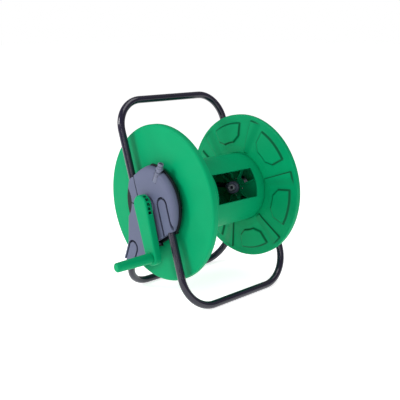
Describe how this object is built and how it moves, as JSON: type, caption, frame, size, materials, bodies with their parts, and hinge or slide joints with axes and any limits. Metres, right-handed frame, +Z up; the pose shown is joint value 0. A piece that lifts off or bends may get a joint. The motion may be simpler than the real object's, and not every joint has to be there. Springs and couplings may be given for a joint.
{
  "type": "garden hose reel",
  "caption": "Free-standing garden hose reel with a hollow drum between round flanges, turned by a crank on a bent steel tube stand with a carrying handle.",
  "frame": {"origin": "on the ground, under the middle of the reel", "axes": "+X along the reel's axis towards the side away from the crank, -Y to the front, +Z up"},
  "size_m": [0.436, 0.33, 0.423],
  "materials": {
    "green_plastic": "smooth moulded green polypropylene, satin gloss",
    "grip_plastic": "fine-grained green moulding",
    "tube_paint": "glossy dark blue-black powder coat on steel tube",
    "bracket_plastic": "blue-grey moulding, fine grain",
    "black_plastic": "black moulding, fine grain",
    "connector_plastic": "grey moulded connector",
    "pale_plastic": "pale grey acetal",
    "seal_rubber": "black nitrile rubber",
    "bright_steel": "zinc-plated steel"
  },
  "bodies": {
    "stand": {"handle_tube": "tube_paint", "front_leg_tube": "tube_paint", "rear_leg_tube": "tube_paint", "crank_side_bracket": "bracket_plastic", "crank_side_back_plate": "black_plastic", "far_side_bracket": "bracket_plastic", "far_side_back_plate": "black_plastic", "crank_side_bush": "pale_plastic", "far_side_bush": "pale_plastic", "far_side_cap": "bracket_plastic", "inlet_body": "connector_plastic", "inlet_connector": "connector_plastic", "inlet_seal": "seal_rubber", "crank_side_plate_screws": "bright_steel", "far_side_plate_screws": "bright_steel"},
    "reel": {"water_axle": "pale_plastic", "swivel_seals": "seal_rubber", "far_axle": "pale_plastic", "far_axle_clip": "bright_steel", "drum": "green_plastic", "near_flange": "green_plastic", "near_hub_web": "green_plastic", "far_flange": "green_plastic", "far_hub_web": "green_plastic", "outlet_elbow": "connector_plastic", "outlet_nut": "connector_plastic", "outlet_nose": "pale_plastic", "outlet_seal": "seal_rubber", "crossover_pipe": "black_plastic", "crank_arm": "green_plastic", "crank_pin": "bright_steel", "grip_spindle": "bright_steel", "spindle_clip": "bright_steel", "near_flange_screws": "bright_steel", "near_axle_screws": "bright_steel", "far_flange_screws": "bright_steel", "far_axle_screws": "bright_steel"},
    "grip": {"crank_grip": "grip_plastic", "grip_end_cap": "grip_plastic"}
  },
  "joints": [
    {"name": "reel_spin", "type": "hinge", "parent": "stand", "child": "reel", "pos_m": [0, 0, 0.211], "axis": [1, 0, 0], "continuous": true},
    {"name": "grip_spin", "type": "hinge", "parent": "reel", "child": "grip", "pos_m": [-0.23, -0.03192, 0.11097], "axis": [1, 0, 0], "continuous": true}
  ]
}
